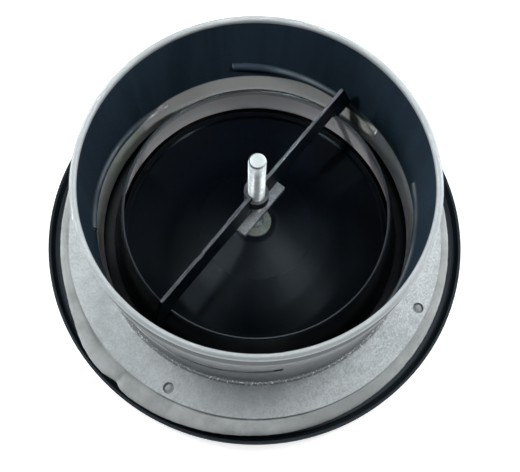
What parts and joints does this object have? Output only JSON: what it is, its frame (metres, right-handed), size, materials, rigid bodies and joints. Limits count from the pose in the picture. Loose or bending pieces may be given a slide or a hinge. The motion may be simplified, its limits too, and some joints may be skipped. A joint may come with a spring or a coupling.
{
  "type": "supply air valve",
  "caption": "Round ceiling supply air valve: galvanised duct collar with bayonet ramps, black throat ring on a foam seal, and a disc on a threaded spindle.",
  "frame": {"origin": "centre of the room-side face plane, where the ring's front lies", "axes": "+Z along the valve's axis into the duct, +X along the bridge"},
  "size_m": [0.1664, 0.1664, 0.0717],
  "materials": {
    "galvanised_sheet": "spangled zinc, semi-bright",
    "black_enamel": "black, satin gloss",
    "zinc_plated": "bright zinc plate",
    "pale_foam": "closed-cell foam strip, matt"
  },
  "bodies": {
    "frame": {"mounting_frame": "galvanised_sheet"},
    "seal": {"foam_gasket": "pale_foam"},
    "valve": {"valve_ring": "black_enamel", "bridge": "black_enamel", "guide_plate": "zinc_plated"},
    "screw": {"spindle": "zinc_plated"},
    "disc": {"disc_cone": "black_enamel", "disc_face": "black_enamel", "cone_washer": "zinc_plated", "disc_nut": "zinc_plated"}
  },
  "joints": [
    {"name": "unit_drop", "type": "slide", "parent": "frame", "child": "seal", "axis": [0, 0, 1], "range_m": [-0.005, 0]},
    {"name": "bayonet_turn", "type": "hinge", "parent": "seal", "child": "valve", "pos_m": [0, 0, 0], "axis": [0, 0, 1], "range_deg": [-28, 0]},
    {"name": "spindle_travel", "type": "slide", "parent": "valve", "child": "screw", "axis": [0, 0, 1], "range_m": [-0.02, 0.0033]},
    {"name": "disc_turn", "type": "hinge", "parent": "screw", "child": "disc", "pos_m": [0, 0, 0], "axis": [0, 0, 1], "range_deg": [-7200, 1188]}
  ],
  "couplings": [
    {"joint": "unit_drop", "follows": "bayonet_turn", "m_per_rad": 0.009888},
    {"joint": "disc_turn", "follows": "spindle_travel", "rad_per_m": 6283.2}
  ]
}
